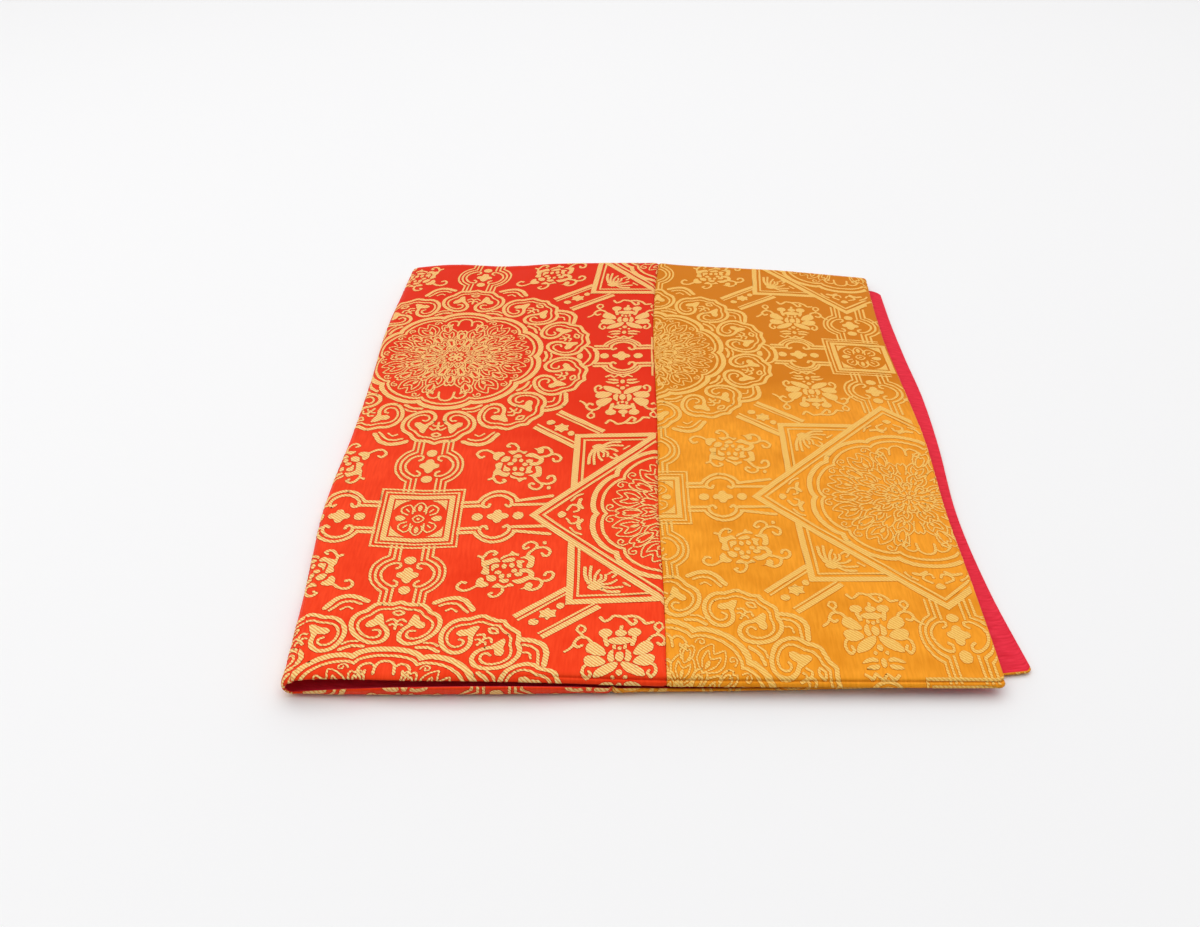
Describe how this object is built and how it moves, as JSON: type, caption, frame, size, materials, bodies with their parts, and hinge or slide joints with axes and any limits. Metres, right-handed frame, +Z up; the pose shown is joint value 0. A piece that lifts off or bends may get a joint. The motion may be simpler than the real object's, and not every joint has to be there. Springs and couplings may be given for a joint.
{
  "type": "folded lined brocade panel",
  "caption": "Lined brocade cloth folded in half: red patterned middle, gold patterned ends, plain crimson lining showing along one side.",
  "frame": {"origin": "middle of the footprint, on the surface that the folded cloth lies on", "axes": "+X from the fold towards the free ends, +Y from the near edge to the far edge, +Z up"},
  "size_m": [0.3212, 0.3458, 0.0101],
  "materials": {
    "red_brocade": "satin-ground silk brocade, orange red, with raised pale gold figures",
    "gold_brocade": "satin-ground silk brocade, ochre gold, with raised pale gold figures",
    "crimson_cotton": "plain-weave matt crimson cotton"
  },
  "bodies": {
    "root": {"red_brocade_middle": "red_brocade", "gold_brocade_upper_end": "gold_brocade", "gold_brocade_lower_end": "gold_brocade", "cotton_lining": "crimson_cotton"}
  },
  "joints": []
}
